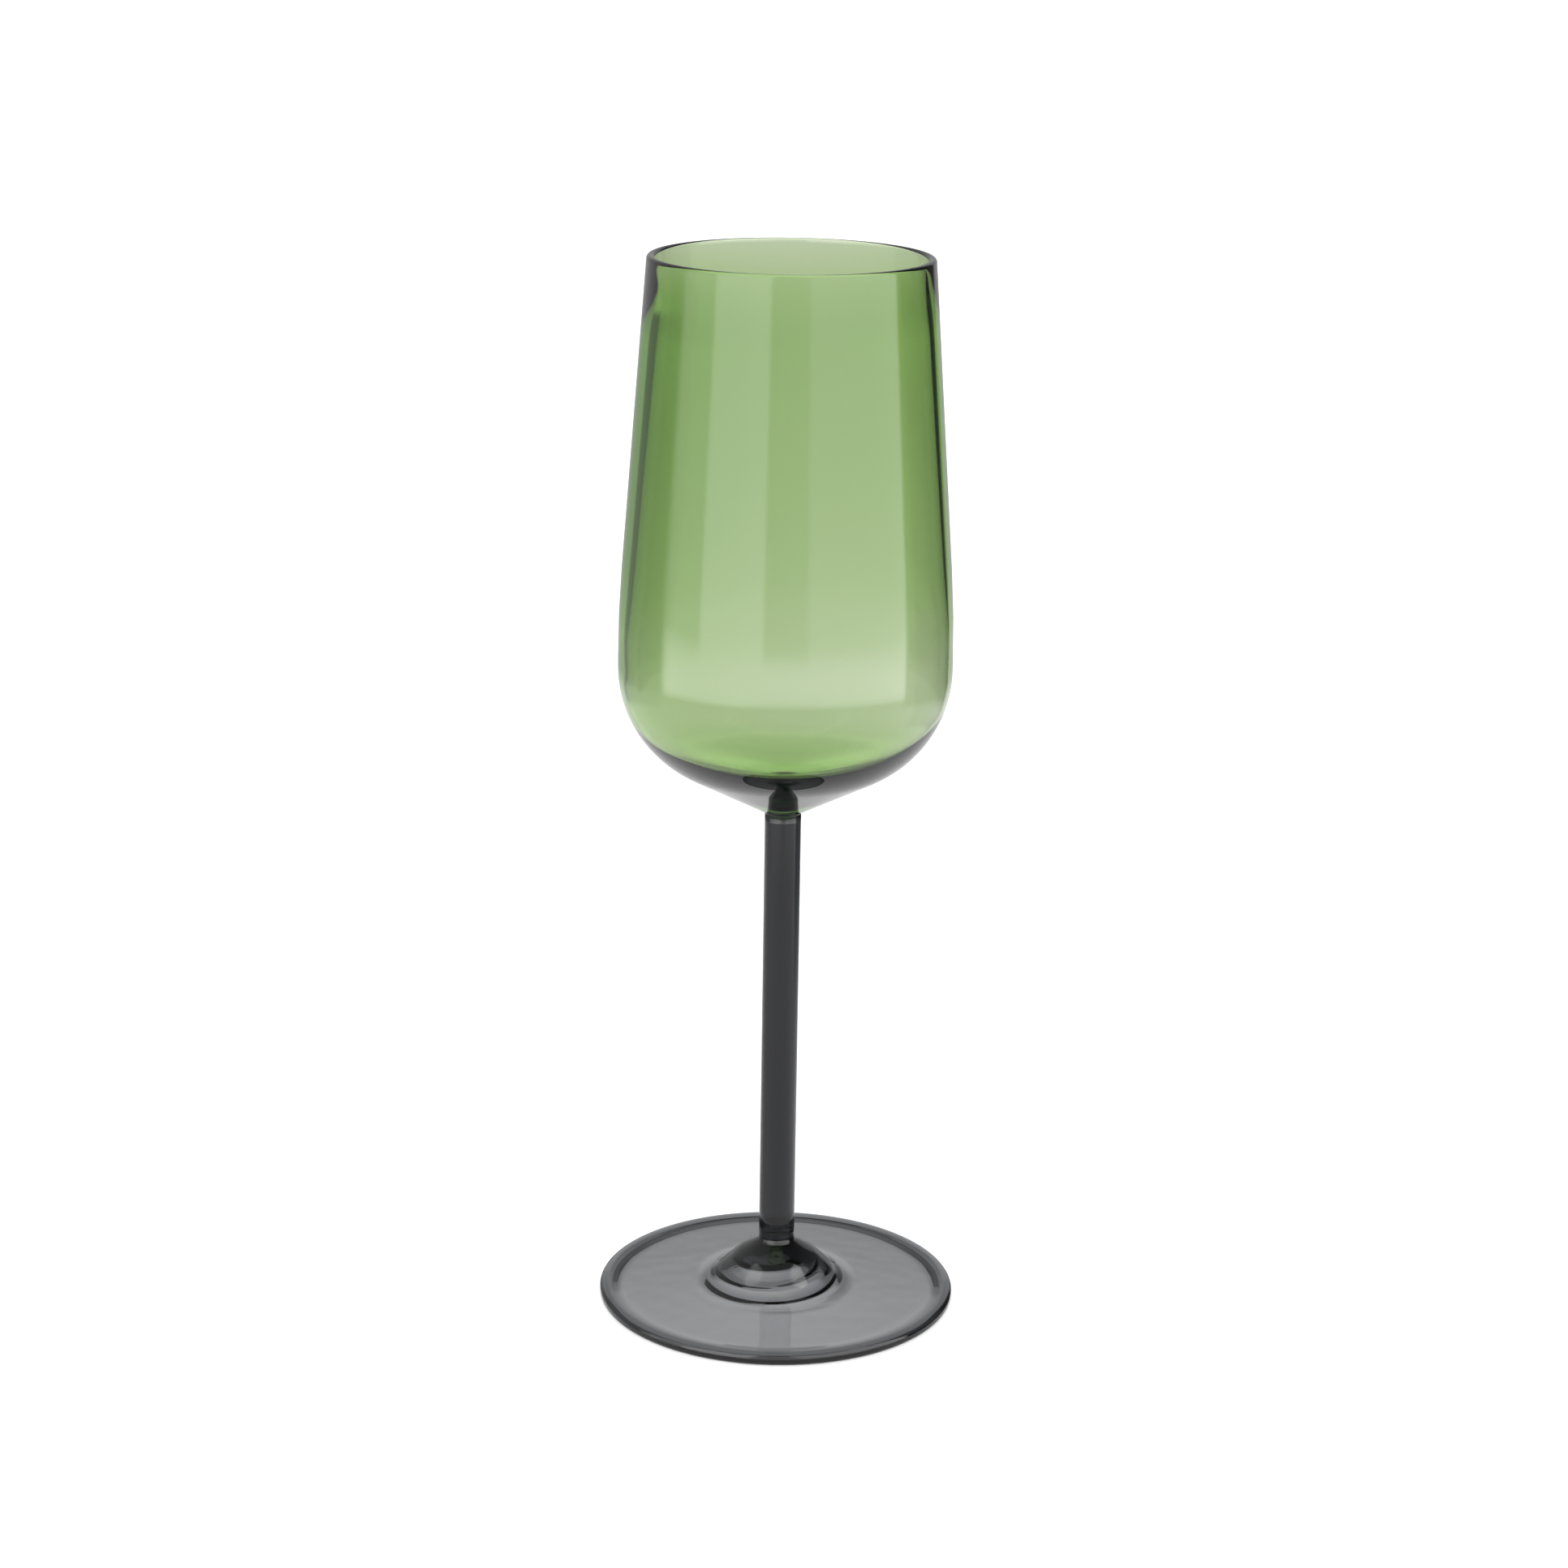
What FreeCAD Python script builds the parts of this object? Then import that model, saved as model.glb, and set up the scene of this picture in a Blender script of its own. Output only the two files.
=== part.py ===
import FreeCAD, Part
import math
import os
from collections import namedtuple

import Sketcher

# Stemmed wine glass: a blown bowl, a solid stem and a foot, welded end to end.
# Every piece is turned about the vertical axis. The origin is the middle of the
# foot's resting plane, +Z is up and all lengths are millimetres.

DIMENSIONS = {
    # whole glass
    "total_height": 220.0,
    # stem, a straight solid rod between the two welds
    "stem_diameter": 7.5,
    "foot_weld_height": 13.0,
    "bowl_weld_height": 106.3,
    # bowl, outside
    "bowl_diameter": 67.7,
    "rim_diameter": 56.9,
    "neck_height": 106.5,
    "neck_rounding": 0.15,
    "base_slope": 27.8,
    "shoulder_rounding": 24.4,
    "belly_height": 148.2,
    "belly_rounding": 250.0,
    # bowl, inside
    "lip_thickness": 1.55,
    "lip_rounding": 0.75,
    "upper_wall_thickness": 2.75,
    "upper_wall_height": 210.0,
    "belly_thickness": 1.45,
    "cavity_belly_height": 141.0,
    "cavity_wall_rounding": 60.0,
    "cavity_shoulder_rounding": 18.0,
    "cavity_slope": 21.5,
    "cavity_bottom_radius": 2.2,
    "cavity_bottom_height": 111.0,
    "cavity_bottom_rounding": 11.0,
    # foot, top side
    "foot_diameter": 74.8,
    "foot_edge_thickness": 2.2,
    "foot_edge_rounding": 1.0,
    "bead_radius": 35.6,
    "bead_height": 2.8,
    "bead_rounding": 2.0,
    "disc_edge_radius": 33.2,
    "disc_edge_height": 2.4,
    "disc_edge_rounding": 4.0,
    "mound_top_height": 12.0,
    "mound_shoulder_radius": 8.0,
    "mound_shoulder_height": 9.6,
    "mound_shoulder_rounding": 9.0,
    "mound_base_radius": 14.0,
    "mound_base_height": 3.8,
    "mound_base_rounding": 9.0,
    # foot, underside
    "rest_ring_radius": 35.2,
    "rest_ring_rounding": 2.0,
    "dish_edge_radius": 33.0,
    "dish_edge_height": 0.6,
    "dish_edge_rounding": 12.0,
    "hollow_mouth_radius": 12.5,
    "hollow_mouth_height": 2.2,
    "hollow_mouth_rounding": 6.0,
    "hollow_shoulder_radius": 7.0,
    "hollow_shoulder_height": 6.6,
    "hollow_shoulder_rounding": 6.0,
    "hollow_top_height": 8.6,
}

# A corner of an outline: its distance from the axis, its height and its rounding,
# each an expression of the sheet's dimensions. A sharp corner has no rounding.
Corner = namedtuple("Corner", "radius height rounding", defaults=("0",))

LINE_START = 1
LINE_END = 2
ORIGIN = (-1, 1)
HORIZONTAL_AXIS = -1
VERTICAL_AXIS = -2


def make_sheet(document):
    """Keep the driving dimensions in a spreadsheet, one alias for each."""
    sheet = document.addObject("Spreadsheet::Sheet", "dims")
    for row, (alias, value) in enumerate(DIMENSIONS.items(), start=1):
        sheet.set("A%d" % row, alias)
        sheet.set("B%d" % row, str(value))
        sheet.setAlias("B%d" % row, alias)
    document.recompute()
    return sheet


def number(sheet, expression):
    """The value of an expression of the sheet's dimensions."""
    value = sheet.evalExpression(expression)
    return float(getattr(value, "Value", value))


def origin_plane(body, role):
    """One of the body's own origin planes."""
    for feature in body.Origin.OriginFeatures:
        if feature.Role == role:
            return feature
    raise ValueError("the body has no plane " + role)


def touch_points(before, corner, after, rounding):
    """Where a rounding of this radius touches the two sides that meet at a corner, and its centre."""
    towards_before = (before - corner).normalize()
    towards_after = (after - corner).normalize()
    half_angle = towards_before.getAngle(towards_after) / 2
    reach = rounding / math.tan(half_angle)
    middle = (towards_before + towards_after).normalize()
    centre = corner + middle * (rounding / math.sin(half_angle))
    return corner + towards_before * reach, corner + towards_after * reach, centre


def rounding_arc(start, end, centre):
    """The short arc about the centre, and whether it runs clockwise from start to end."""
    radius = start.distanceToPoint(centre)
    middle = centre + ((start + end) / 2 - centre).normalize() * radius
    clockwise = (start - centre).cross(end - centre).z < 0
    arc = Part.Arc(start, middle, end)
    return arc, clockwise


def bind_point(sketch, geometry, vertex, corner, sheet):
    """Hold a point of the sketch at a corner's radius and height."""
    for kind, axis, expression in (
        ("DistanceX", VERTICAL_AXIS, corner.radius),
        ("DistanceY", HORIZONTAL_AXIS, corner.height),
    ):
        if number(sheet, expression) == 0:
            sketch.addConstraint(Sketcher.Constraint("PointOnObject", geometry, vertex, axis))
            continue
        index = sketch.addConstraint(
            Sketcher.Constraint(kind, *ORIGIN, geometry, vertex, number(sheet, expression))
        )
        sketch.setExpression("Constraints[%d]" % index, expression)


def draw_outline(body, name, corners, sheet):
    """Draw a closed outline of straight sides and rounded corners in the upright plane of a body."""
    document = body.Document
    sketch = body.newObject("Sketcher::SketchObject", name)
    sketch.AttachmentSupport = (origin_plane(body, "XZ_Plane"), [""])
    sketch.MapMode = "FlatFace"
    document.recompute()

    points = [
        FreeCAD.Vector(number(sheet, corner.radius), number(sheet, corner.height), 0)
        for corner in corners
    ]
    roundings = [number(sheet, corner.rounding) for corner in corners]
    count = len(corners)

    # each corner's arriving point, leaving point and arc centre
    turns = []
    for index, (point, rounding) in enumerate(zip(points, roundings)):
        if rounding > 0:
            turns.append(touch_points(points[index - 1], point, points[(index + 1) % count], rounding))
        else:
            turns.append((point, point, None))

    # sides[index] leaves corner index and arrives at the next one
    sides = []
    for index in range(count):
        leaving = turns[index][1]
        arriving = turns[(index + 1) % count][0]
        sides.append(sketch.addGeometry(Part.LineSegment(leaving, arriving), False))

    for index, corner in enumerate(corners):
        side_in = sides[index - 1]
        side_out = sides[index]
        arriving, leaving, centre = turns[index]
        if centre is None:
            sketch.addConstraint(
                Sketcher.Constraint("Coincident", side_in, LINE_END, side_out, LINE_START)
            )
            bind_point(sketch, side_out, LINE_START, corner, sheet)
            continue
        shape, clockwise = rounding_arc(arriving, leaving, centre)
        arc = sketch.addGeometry(shape, False)
        arc_start, arc_end = (2, 1) if clockwise else (1, 2)
        sketch.addConstraint(Sketcher.Constraint("Tangent", side_in, LINE_END, arc, arc_start))
        sketch.addConstraint(Sketcher.Constraint("Tangent", arc, arc_end, side_out, LINE_START))
        size = sketch.addConstraint(Sketcher.Constraint("Radius", arc, roundings[index]))
        sketch.setExpression("Constraints[%d]" % size, corner.rounding)
        # the sharp corner that the rounding replaces, kept as a construction point
        sharp = sketch.addGeometry(Part.Point(points[index]), True)
        sketch.addConstraint(Sketcher.Constraint("PointOnObject", sharp, 1, side_in))
        sketch.addConstraint(Sketcher.Constraint("PointOnObject", sharp, 1, side_out))
        bind_point(sketch, sharp, 1, corner, sheet)
    document.recompute()
    return sketch


def turned_body(document, label, corners, sheet):
    """A piece turned from an outline, a full turn about the vertical axis."""
    body = document.addObject("PartDesign::Body", label)
    body.Label = label
    body.Placement = FreeCAD.Placement()
    sketch = draw_outline(body, label + "_outline", corners, sheet)
    turn = body.newObject("PartDesign::Revolution", label + "_turning")
    turn.Profile = (sketch, [""])
    turn.ReferenceAxis = (sketch, ["V_Axis"])
    turn.Angle = 360.0
    body.Tip = turn
    document.recompute()
    return body


def make_bowl(document, sheet):
    """Green cup: a solid cone over the stem opens through a round shoulder into a tapering wall."""
    cone_corner = (
        "dims.neck_height + (dims.bowl_diameter - dims.stem_diameter) / 2 * tan(dims.base_slope * 1 deg)"
    )
    inner_radius = "dims.bowl_diameter / 2 - dims.belly_thickness"
    upper_wall_radius = (
        "dims.rim_diameter / 2 + (dims.bowl_diameter - dims.rim_diameter) / 2"
        " * (dims.total_height - dims.upper_wall_height) / (dims.total_height - dims.belly_height)"
        " - dims.upper_wall_thickness"
    )
    cavity_corner = (
        "dims.cavity_bottom_height + (dims.bowl_diameter / 2 - dims.belly_thickness"
        " - dims.cavity_bottom_radius) * tan(dims.cavity_slope * 1 deg)"
    )
    corners = [
        Corner("0", "dims.bowl_weld_height"),
        Corner("dims.stem_diameter / 2", "dims.bowl_weld_height"),
        Corner("dims.stem_diameter / 2", "dims.neck_height", "dims.neck_rounding"),
        Corner("dims.bowl_diameter / 2", cone_corner, "dims.shoulder_rounding"),
        Corner("dims.bowl_diameter / 2", "dims.belly_height", "dims.belly_rounding"),
        Corner("dims.rim_diameter / 2", "dims.total_height", "dims.lip_rounding"),
        Corner("dims.rim_diameter / 2 - dims.lip_thickness", "dims.total_height", "dims.lip_rounding"),
        Corner(upper_wall_radius, "dims.upper_wall_height", "dims.cavity_wall_rounding"),
        Corner(inner_radius, "dims.cavity_belly_height", "dims.cavity_wall_rounding"),
        Corner(inner_radius, cavity_corner, "dims.cavity_shoulder_rounding"),
        Corner("dims.cavity_bottom_radius", "dims.cavity_bottom_height", "dims.cavity_bottom_rounding"),
        Corner("0", "dims.cavity_bottom_height"),
    ]
    return turned_body(document, "bowl", corners, sheet)


def make_stem(document, sheet):
    """Solid rod from the foot's weld to the bowl's weld."""
    corners = [
        Corner("0", "dims.foot_weld_height"),
        Corner("dims.stem_diameter / 2", "dims.foot_weld_height"),
        Corner("dims.stem_diameter / 2", "dims.bowl_weld_height"),
        Corner("0", "dims.bowl_weld_height"),
    ]
    return turned_body(document, "stem", corners, sheet)


def make_foot(document, sheet):
    """Disc that rests on its outer ring, with a hollow mound and a short neck under the stem."""
    foot_radius = "dims.foot_diameter / 2"
    corners = [
        Corner("0", "dims.foot_weld_height"),
        Corner("0", "dims.hollow_top_height"),
        Corner("dims.hollow_shoulder_radius", "dims.hollow_shoulder_height", "dims.hollow_shoulder_rounding"),
        Corner("dims.hollow_mouth_radius", "dims.hollow_mouth_height", "dims.hollow_mouth_rounding"),
        Corner("dims.dish_edge_radius", "dims.dish_edge_height", "dims.dish_edge_rounding"),
        Corner("dims.rest_ring_radius", "0", "dims.rest_ring_rounding"),
        Corner(foot_radius, "0", "dims.foot_edge_rounding"),
        Corner(foot_radius, "dims.foot_edge_thickness", "dims.foot_edge_rounding"),
        Corner("dims.bead_radius", "dims.bead_height", "dims.bead_rounding"),
        Corner("dims.disc_edge_radius", "dims.disc_edge_height", "dims.disc_edge_rounding"),
        Corner("dims.mound_base_radius", "dims.mound_base_height", "dims.mound_base_rounding"),
        Corner("dims.mound_shoulder_radius", "dims.mound_shoulder_height", "dims.mound_shoulder_rounding"),
        Corner("dims.stem_diameter / 2", "dims.mound_top_height"),
        Corner("dims.stem_diameter / 2", "dims.foot_weld_height"),
    ]
    return turned_body(document, "foot", corners, sheet)


def check(document, pieces):
    """Stop if any object failed or any piece is not one valid solid."""
    document.recompute()
    for item in document.Objects:
        if {"Invalid", "Error"} & set(item.State):
            raise RuntimeError("%s is %s" % (item.Name, item.State))
    for piece in pieces:
        shape = piece.Shape
        if shape.isNull() or not shape.isValid() or len(shape.Solids) != 1:
            raise RuntimeError(piece.Label + " is not one valid solid")
        box = shape.optimalBoundingBox(False)
        print(
            "%s: volume %.0f mm3, radius %.2f, height %.2f to %.2f"
            % (piece.Label, shape.Volume, box.XMax, box.ZMin, box.ZMax)
        )


def main():
    os.makedirs("parts", exist_ok=True)
    document = FreeCAD.newDocument("wine_glass")
    sheet = make_sheet(document)
    pieces = [make_bowl(document, sheet), make_stem(document, sheet), make_foot(document, sheet)]
    check(document, pieces)
    for piece in pieces:
        piece.Shape.exportStep("parts/%s.step" % piece.Label)


main()
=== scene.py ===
import math
from collections import namedtuple

import bpy
from mathutils import Matrix, Vector


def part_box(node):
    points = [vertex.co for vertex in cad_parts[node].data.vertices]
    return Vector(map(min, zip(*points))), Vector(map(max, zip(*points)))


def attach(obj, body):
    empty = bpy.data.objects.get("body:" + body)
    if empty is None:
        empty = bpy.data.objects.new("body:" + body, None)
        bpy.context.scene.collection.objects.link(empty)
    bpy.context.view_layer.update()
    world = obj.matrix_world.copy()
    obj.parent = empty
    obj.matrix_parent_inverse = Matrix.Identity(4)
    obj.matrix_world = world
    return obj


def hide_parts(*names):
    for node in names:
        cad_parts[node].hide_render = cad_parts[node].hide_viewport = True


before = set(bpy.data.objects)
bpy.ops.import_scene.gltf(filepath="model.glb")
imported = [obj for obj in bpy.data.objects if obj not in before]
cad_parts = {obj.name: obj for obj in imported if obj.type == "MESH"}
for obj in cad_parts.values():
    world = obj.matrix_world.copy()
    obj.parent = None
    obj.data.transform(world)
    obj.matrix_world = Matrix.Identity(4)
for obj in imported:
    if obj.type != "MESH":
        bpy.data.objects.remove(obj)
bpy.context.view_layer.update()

# Looks of the wine glass: three pieces of clear coloured glass in a small studio of its own. Their
# outer sizes are read from the frame. Metres, +Z up, the origin under the middle of the foot.

MM = 0.001

# ---------------------------------------------------------------- sizes read from the frame

BOWL_LOW, BOWL_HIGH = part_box("bowl")
STEM_LOW, STEM_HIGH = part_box("stem")
FOOT_LOW, FOOT_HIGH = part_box("foot")
RIM_HEIGHT = BOWL_HIGH[2]
BOWL_RADIUS = BOWL_HIGH[0]
BOWL_WELD = STEM_HIGH[2]
FOOT_WELD = STEM_LOW[2]
STEM_RADIUS = STEM_HIGH[0]
FOOT_RADIUS = FOOT_HIGH[0]

# ---------------------------------------------------------------- outlines

Corner = namedtuple("Corner", "radius height rounding", defaults=(0.0,))

ARC_STEP = math.radians(3.0)
SIDE_STEP = 1.5 * MM
TURN_COUNT = 192
# places closer than this, in metres, count as one
SAME_PLACE = 1e-7


def rounded_corner(before, corner, after, rounding):
    """Points of the arc that rounds a corner, from the side that arrives to the side that leaves."""
    arriving = math.atan2(corner.height - before.height, corner.radius - before.radius)
    leaving = math.atan2(after.height - corner.height, after.radius - corner.radius)
    turn = math.remainder(leaving - arriving, 2 * math.pi)
    side = math.copysign(1.0, turn)
    reach = rounding * math.tan(abs(turn) / 2)
    # the centre lies square to the arriving side, on the side that the outline turns to
    centre_radius = corner.radius - reach * math.cos(arriving) - side * rounding * math.sin(arriving)
    centre_height = corner.height - reach * math.sin(arriving) + side * rounding * math.cos(arriving)
    count = max(2, math.ceil(abs(turn) / ARC_STEP))
    points = []
    for step in range(count + 1):
        heading = arriving + turn * step / count
        points.append((
            centre_radius + side * rounding * math.sin(heading),
            centre_height - side * rounding * math.cos(heading),
        ))
    return points


def outline_points(corners):
    """An open outline of straight sides and rounded corners, as (radius, height) points."""
    points = []
    for index, corner in enumerate(corners):
        run = [(corner.radius, corner.height)]
        if corner.rounding:
            run = rounded_corner(corners[index - 1], corner, corners[index + 1], corner.rounding)
        if points:
            start = points[-1]
            length = math.dist(start, run[0])
            pieces = max(1, math.ceil(length / SIDE_STEP))
            for piece in range(1, pieces):
                share = piece / pieces
                points.append(tuple(a + (b - a) * share for a, b in zip(start, run[0])))
        points += run
    return points


def lathe(name, stretches, weld_heights):
    """A closed mesh turned from stretches of outline that run from the axis round to the axis again.
    Each stretch is a list of (radius, height) points with the function that bends its points."""
    vertices = []
    rings = []
    heights = []
    for outline, bend in stretches:
        for radius, height in outline:
            count = TURN_COUNT if radius > SAME_PLACE else 1
            ring = []
            for turn in range(count):
                angle = 2 * math.pi * turn / count
                ring.append(len(vertices))
                vertices.append(bend(Vector((radius * math.cos(angle), radius * math.sin(angle), height))))
            rings.append(ring)
            heights.append(height)
    faces = []
    welded = []
    for index in range(len(rings) - 1):
        low, high = rings[index:index + 2]
        ends = heights[index:index + 2]
        is_weld = any(max(abs(end - weld) for end in ends) < SAME_PLACE for weld in weld_heights)
        for turn in range(TURN_COUNT):
            onward = (turn + 1) % TURN_COUNT
            if len(low) == 1:
                face = (low[0], high[onward], high[turn])
            elif len(high) == 1:
                face = (low[turn], low[onward], high[0])
            else:
                face = (low[turn], low[onward], high[onward], high[turn])
            faces.append(face)
            welded.append(is_weld)
    mesh = bpy.data.meshes.new(name)
    mesh.from_pydata(vertices, [], faces)
    mesh.polygons.foreach_set("use_smooth", [not flat for flat in welded])
    mask = mesh.attributes.new("fused", "FLOAT", "FACE")
    mask.data.foreach_set("value", [1.0 if flat else 0.0 for flat in welded])
    mesh.update()
    piece = bpy.data.objects.new(name, mesh)
    bpy.context.scene.collection.objects.link(piece)
    return piece


# ---------------------------------------------------------------- glass pieces

# the faces of a weld are drawn this far apart, so that no two lie in one plane
WELD_GAP = 0.01 * MM


def still(point):
    """Leaves a point where it is."""
    return point


def ramp(value, start, end):
    """0 before start, 1 after end, and a smooth rise between them."""
    share = min(1.0, max(0.0, (value - start) / (end - start)))
    return share * share * (3 - 2 * share)


def off_centre(point):
    """The cavity isn't quite central: its walls are thinner on the right."""
    most = 0.4 * MM
    grown = ramp(point.z, BOWL_WELD + 10 * MM, BOWL_WELD + 25 * MM)
    gone = ramp(point.z, RIM_HEIGHT - 15 * MM, RIM_HEIGHT - 1 * MM)
    return point + Vector((most * grown * (1 - gone), 0, 0))


def rippled(point):
    """Low ripples in the underside of the foot, in a spiral of two arms, deepest in front."""
    deepest = 0.55 * MM
    share_at_back = 0.3
    wavelength = 3.8 * MM
    arms = 2
    radius = math.hypot(point.x, point.y)
    depth = deepest * ramp(radius, 3 * MM, 8 * MM) * (1 - ramp(radius, 11 * MM, 18 * MM))
    depth *= share_at_back + (1 - share_at_back) * ramp(-point.y, -4 * MM, 6 * MM)
    turn = math.atan2(point.y, point.x)
    wave = math.sin(2 * math.pi * radius / wavelength + arms * turn)
    return point + Vector((0, 0, depth * wave))


def make_bowl():
    # outside
    rim = 28.45 * MM
    neck = 106.5 * MM
    neck_rounding = 0.15 * MM
    base_slope = math.tan(math.radians(27.8))
    shoulder_rounding = 24.4 * MM
    belly = 148.2 * MM
    belly_rounding = 250 * MM
    # lip and walls
    lip = 1.55 * MM
    lip_rounding = 0.75 * MM
    thick_wall = 2.75 * MM
    thick_height = 210 * MM
    belly_wall = 1.45 * MM
    # cavity
    cavity_radius = BOWL_RADIUS - belly_wall
    cavity_belly = 141 * MM
    cavity_wall_rounding = 60 * MM
    cavity_slope = math.tan(math.radians(21.5))
    cavity_shoulder_rounding = 18 * MM
    flat_radius = 2.2 * MM
    flat_rounding = 11 * MM
    cavity_bottom = 111.0 * MM

    shoulder = neck + (BOWL_RADIUS - STEM_RADIUS) * base_slope
    outside = outline_points([
        Corner(0, BOWL_WELD + WELD_GAP),
        Corner(STEM_RADIUS, BOWL_WELD + WELD_GAP),
        Corner(STEM_RADIUS, neck, neck_rounding),
        Corner(BOWL_RADIUS, shoulder, shoulder_rounding),
        Corner(BOWL_RADIUS, belly, belly_rounding),
        Corner(rim, RIM_HEIGHT, lip_rounding),
        Corner(rim - lip / 2, RIM_HEIGHT),
    ])
    outer_at_thick = rim + (BOWL_RADIUS - rim) * (RIM_HEIGHT - thick_height) / (RIM_HEIGHT - belly)
    cavity_shoulder = cavity_bottom + (cavity_radius - flat_radius) * cavity_slope
    inside = outline_points([
        Corner(rim - lip / 2, RIM_HEIGHT),
        Corner(rim - lip, RIM_HEIGHT, lip_rounding),
        Corner(outer_at_thick - thick_wall, thick_height, cavity_wall_rounding),
        Corner(cavity_radius, cavity_belly, cavity_wall_rounding),
        Corner(cavity_radius, cavity_shoulder, cavity_shoulder_rounding),
        Corner(flat_radius, cavity_bottom, flat_rounding),
        Corner(0, cavity_bottom),
    ])
    return lathe("green_bowl", [(outside, still), (inside[1:], off_centre)], [BOWL_WELD + WELD_GAP])


def make_stem():
    outline = outline_points([
        Corner(0, FOOT_WELD + WELD_GAP),
        Corner(STEM_RADIUS, FOOT_WELD + WELD_GAP),
        Corner(STEM_RADIUS, BOWL_WELD),
        Corner(0, BOWL_WELD),
    ])
    return lathe("smoke_stem", [(outline, still)], [FOOT_WELD + WELD_GAP, BOWL_WELD])


def make_foot():
    # underside, from the hollow under the mound out to the ring that the glass rests on
    hollow_top = 8.6 * MM
    hollow_shoulder = Corner(7.0 * MM, 6.6 * MM, 6 * MM)
    hollow_mouth = Corner(12.5 * MM, 2.2 * MM, 6 * MM)
    dish_edge = Corner(33.0 * MM, 0.6 * MM, 12 * MM)
    rest_ring = Corner(35.2 * MM, 0, 2 * MM)
    rest_ring_end = Corner(35.9 * MM, 0)
    # top, from the edge in to the stem
    edge_thickness = 2.2 * MM
    edge_rounding = 1.0 * MM
    bead = Corner(35.6 * MM, 2.8 * MM, 2 * MM)
    disc_edge = Corner(33.2 * MM, 2.4 * MM, 4 * MM)
    mound_base = Corner(14.0 * MM, 3.8 * MM, 9 * MM)
    mound_shoulder = Corner(8.0 * MM, 9.6 * MM, 9 * MM)
    mound_top = Corner(STEM_RADIUS, 12.0 * MM, 0.25 * MM)

    underside = outline_points([
        Corner(0, hollow_top),
        hollow_shoulder,
        hollow_mouth,
        dish_edge,
        rest_ring,
        rest_ring_end,
    ])
    top = outline_points([
        rest_ring_end,
        Corner(FOOT_RADIUS, 0, edge_rounding),
        Corner(FOOT_RADIUS, edge_thickness, edge_rounding),
        bead,
        disc_edge,
        mound_base,
        mound_shoulder,
        mound_top,
        Corner(STEM_RADIUS, FOOT_WELD),
        Corner(0, FOOT_WELD),
    ])
    return lathe("smoke_foot", [(underside, rippled), (top[1:], still)], [FOOT_WELD])


# ---------------------------------------------------------------- glass materials

GLASS_IOR = 1.47


def glass(name, loss, cord_width, cord_depth):
    """Clear glass that takes out red, green and blue by these amounts per millimetre. Faint upright
    cords this wide and deep run through its surface and a few patches of it are dulled."""
    cord_stretch = 5.0
    patch_width = 9 * MM
    # levels of the noise at which a dulled patch begins and is full
    patch_edge = 0.6
    patch_middle = 0.8
    dulled_roughness = 0.05
    material = bpy.data.materials.new(name)
    material.use_nodes = True
    nodes = material.node_tree.nodes
    links = material.node_tree.links
    shader = nodes["Principled BSDF"]
    shader.inputs["Base Color"].default_value = (1, 1, 1, 1)
    shader.inputs["Transmission Weight"].default_value = 1.0
    fused = nodes.new("ShaderNodeAttribute")
    fused.attribute_name = "fused"
    index = nodes.new("ShaderNodeMapRange")
    index.inputs["To Min"].default_value = GLASS_IOR
    index.inputs["To Max"].default_value = 1.0
    links.new(fused.outputs["Fac"], index.inputs["Value"])
    links.new(index.outputs["Result"], shader.inputs["IOR"])

    place = nodes.new("ShaderNodeTexCoord")
    stretch = nodes.new("ShaderNodeMapping")
    stretch.inputs["Scale"].default_value = (1, 1, 1 / cord_stretch)
    links.new(place.outputs["Object"], stretch.inputs["Vector"])
    cords = nodes.new("ShaderNodeTexNoise")
    cords.inputs["Scale"].default_value = 1 / cord_width
    cords.inputs["Detail"].default_value = 1.0
    links.new(stretch.outputs["Vector"], cords.inputs["Vector"])
    bump = nodes.new("ShaderNodeBump")
    bump.inputs["Strength"].default_value = 1.0
    bump.inputs["Distance"].default_value = cord_depth
    links.new(cords.outputs["Fac"], bump.inputs["Height"])
    links.new(bump.outputs["Normal"], shader.inputs["Normal"])

    patches = nodes.new("ShaderNodeTexNoise")
    patches.inputs["Scale"].default_value = 1 / patch_width
    patches.inputs["Detail"].default_value = 4.0
    links.new(place.outputs["Object"], patches.inputs["Vector"])
    dulling = nodes.new("ShaderNodeMapRange")
    dulling.inputs["From Min"].default_value = patch_edge
    dulling.inputs["From Max"].default_value = patch_middle
    dulling.inputs["To Max"].default_value = dulled_roughness
    links.new(patches.outputs["Fac"], dulling.inputs["Value"])
    links.new(dulling.outputs["Result"], shader.inputs["Roughness"])

    volume = nodes.new("ShaderNodeVolumeAbsorption")
    top = max(loss)
    volume.inputs["Color"].default_value = (*[1 - part / top for part in loss], 1)
    volume.inputs["Density"].default_value = top / MM
    links.new(volume.outputs["Volume"], nodes["Material Output"].inputs["Volume"])
    return material


# ---------------------------------------------------------------- studio

TENT_CENTRE = Vector((0, 0, 0.11))

# A card of the tent fills a range of azimuth (0 faces the camera's side, + is to the right) and of
# elevation, in degrees, with an even glow that fades out over its soft edges. A range that runs past
# 90 degrees has no soft edge at the pole.
Card = namedtuple("Card", "azimuth elevation glow soft_side soft_top")

REFLECTED_CARDS = (
    # the dim room, and the white table all round the glass
    Card((-180, 180), (-100, 100), 0.5, 0, 5),
    Card((-180, 180), (-100, -15), 1.0, 0, 5),
    # even light from the camera's side, with a bright softbox on the left and a weaker one on the right
    Card((-90, 90), (-15, 60), 2.0, 10, 5),
    Card((-60, -15), (-15, 60), 4.0, 5, 5),
    Card((15, 90), (-15, 60), 3.0, 5, 5),
    # the table's edge on the camera's side, lit from above by the softboxes
    Card((-90, 90), (-15, -10), 4.0, 10, 2),
    # a nearly black flag on the right, beside the softbox
    Card((90, 150), (-20, 100), 0.1, 5, 5),
)

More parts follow.
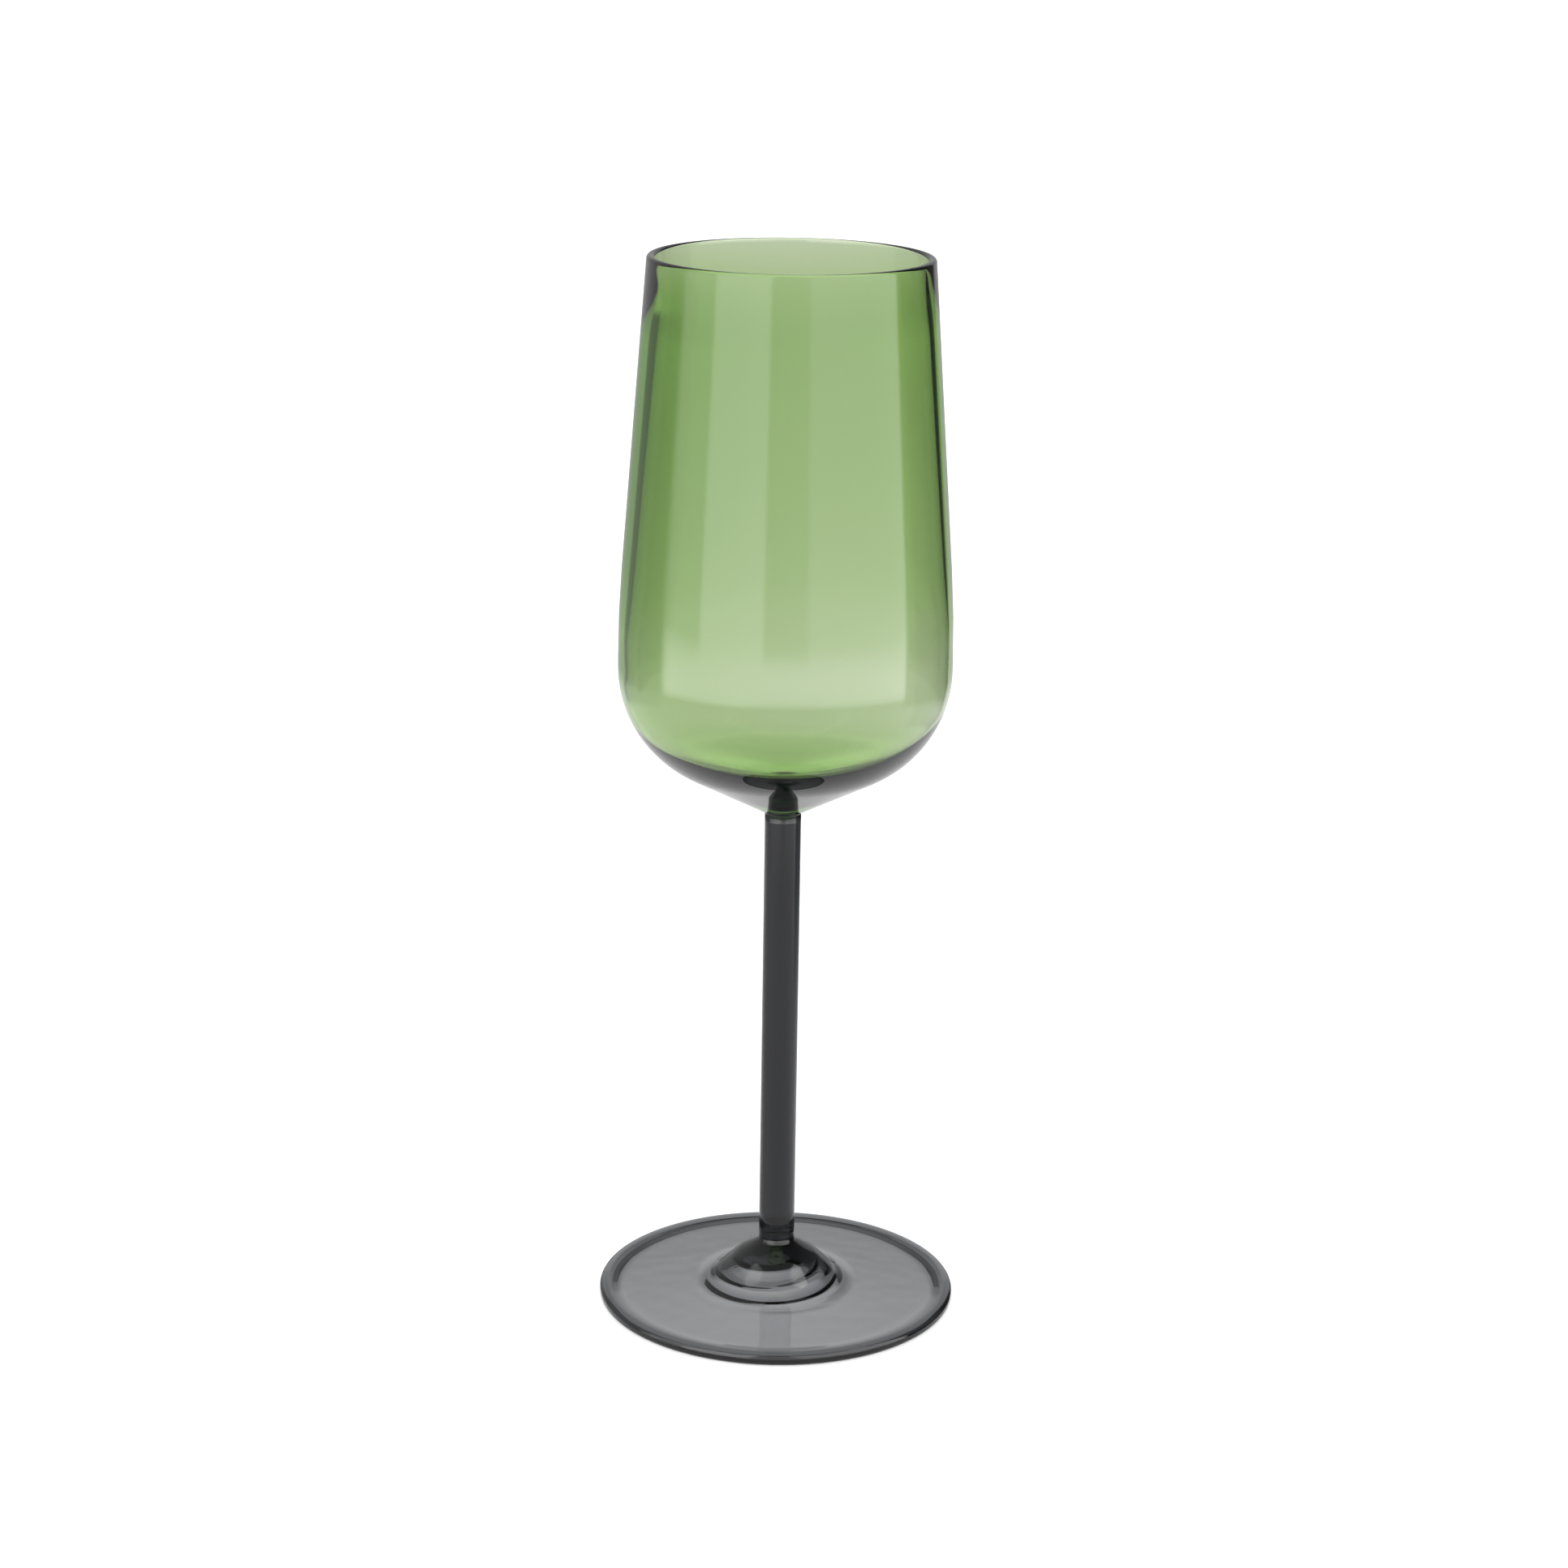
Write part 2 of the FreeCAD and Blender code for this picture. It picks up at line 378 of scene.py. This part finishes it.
SEEN_THROUGH_CARDS = (
    # the white background, a little dimmer low down behind the glass
    Card((-180, 180), (-100, 100), 1.0, 0, 5),
    Card((150, 210), (-25, -5), 0.7, 5, 5),
    # a black flag behind the glass on the right and a dark grey one on the left, which draw its dark edges
    Card((100, 150), (-30, 0), 0.0, 5, 5),
    Card((-150, -100), (-15, 0), 0.2, 5, 5),
)


def cover(angle, limits, soft):
    """How far a card covers an angle, from 0 outside its limits to 1 within them."""
    middle = (limits[0] + limits[1]) / 2
    offset = abs((angle - middle + 180) % 360 - 180)
    half = (limits[1] - limits[0]) / 2
    if half >= 180:
        return 1.0
    return 1 - ramp(offset, half - soft / 2, half + soft / 2)


def glow_at(cards, azimuth, elevation):
    """The glow of the cards in one direction. Each card lies over the ones before it."""
    glow = 0.0
    for card in cards:
        share = cover(azimuth, card.azimuth, card.soft_side)
        share *= cover(elevation, card.elevation, card.soft_top)
        glow += (card.glow - glow) * share
    return glow


def make_tent(name, cards, distance, glossy, transmission):
    """A dome whose glow is seen only in the glass, as reflection or through it."""
    columns = 240
    rows = 120
    vertices = []
    glows = []
    for row in range(rows + 1):
        elevation = -90 + 180 * row / rows
        up = math.radians(elevation)
        for column in range(columns):
            azimuth = 360 * column / columns
            side = math.radians(azimuth)
            direction = Vector((math.cos(up) * math.sin(side), -math.cos(up) * math.cos(side), math.sin(up)))
            vertices.append(TENT_CENTRE + direction * distance)
            glows.append(glow_at(cards, azimuth, elevation))
    faces = []
    for row in range(rows):
        for column in range(columns):
            onward = (column + 1) % columns
            low = row * columns
            high = low + columns
            faces.append((low + column, low + onward, high + onward, high + column))
    mesh = bpy.data.meshes.new(name)
    mesh.from_pydata(vertices, [], faces)
    layer = mesh.attributes.new("glow", "FLOAT", "POINT")
    layer.data.foreach_set("value", glows)
    material = bpy.data.materials.new(name)
    material.use_nodes = True
    material.cycles.emission_sampling = "NONE"
    nodes = material.node_tree.nodes
    nodes.remove(nodes["Principled BSDF"])
    strength = nodes.new("ShaderNodeAttribute")
    strength.attribute_name = "glow"
    emission = nodes.new("ShaderNodeEmission")
    material.node_tree.links.new(strength.outputs["Fac"], emission.inputs["Strength"])
    material.node_tree.links.new(emission.outputs["Emission"], nodes["Material Output"].inputs["Surface"])
    mesh.materials.append(material)
    dome = bpy.data.objects.new(name, mesh)
    bpy.context.scene.collection.objects.link(dome)
    dome.visible_camera = False
    dome.visible_diffuse = False
    dome.visible_shadow = False
    dome.visible_volume_scatter = False
    dome.visible_glossy = glossy
    dome.visible_transmission = transmission


def make_floor():
    reach = 12.0
    mesh = bpy.data.meshes.new("floor")
    corners = [(-reach, -reach, 0), (reach, -reach, 0), (reach, reach, 0), (-reach, reach, 0)]
    mesh.from_pydata(corners, [], [(0, 1, 2, 3)])
    material = bpy.data.materials.new("floor_paper")
    material.use_nodes = True
    shader = material.node_tree.nodes["Principled BSDF"]
    shader.inputs["Base Color"].default_value = (0.86, 0.86, 0.86, 1)
    shader.inputs["Roughness"].default_value = 1.0
    shader.inputs["Specular IOR Level"].default_value = 0.0
    shader.inputs["Emission Color"].default_value = (1, 1, 1, 1)
    shader.inputs["Emission Strength"].default_value = 0.45
    mesh.materials.append(material)
    floor = bpy.data.objects.new("floor", mesh)
    bpy.context.scene.collection.objects.link(floor)
    floor.visible_glossy = False
    floor.visible_transmission = False


def make_world():
    world = bpy.data.worlds.new("studio")
    world.use_nodes = True
    world.node_tree.nodes["Background"].inputs["Color"].default_value = (1, 1, 1, 1)
    world.node_tree.nodes["Background"].inputs["Strength"].default_value = 1.05
    bpy.context.scene.world = world


def make_camera():
    data = bpy.data.cameras.new("camera")
    data.lens = 80.23
    data.sensor_width = 36.0
    camera = bpy.data.objects.new("camera", data)
    camera.location = (0.0001, -0.68586, 0.31013)
    look_down = math.radians(16.087)
    roll = math.radians(0.9)
    turn = Matrix.Rotation(math.pi / 2 - look_down, 3, "X") @ Matrix.Rotation(roll, 3, "Z")
    camera.rotation_euler = turn.to_euler()
    bpy.context.scene.collection.objects.link(camera)
    bpy.context.scene.camera = camera


def set_render_look():
    most_bounces = 32
    scene = bpy.context.scene
    scene.view_settings.view_transform = "Standard"
    scene.cycles.max_bounces = most_bounces
    scene.cycles.transmission_bounces = most_bounces
    scene.cycles.glossy_bounces = most_bounces
    scene.cycles.transparent_max_bounces = most_bounces
    scene.cycles.use_denoising = True
    scene.cycles.denoising_input_passes = "RGB"


def main():
    green = glass("green_glass", loss=(0.215, 0.120, 0.350), cord_width=14 * MM, cord_depth=0.03 * MM)
    smoke = glass("smoke_glass", loss=(0.54, 0.532, 0.515), cord_width=8 * MM, cord_depth=0.05 * MM)
    for make, node, material, slot in (
        (make_bowl, "bowl", green, "green_glass"),
        (make_stem, "stem", smoke, "smoke_glass"),
        (make_foot, "foot", smoke, "smoke_glass"),
    ):
        piece = make()
        piece.data.materials.append(material)
        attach(piece, "root")
        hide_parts(node)
    make_tent("tent_reflected", REFLECTED_CARDS, distance=4.2, glossy=True, transmission=False)
    make_tent("tent_seen_through", SEEN_THROUGH_CARDS, distance=4.0, glossy=False, transmission=True)
    make_floor()
    make_world()
    make_camera()
    set_render_look()


main()
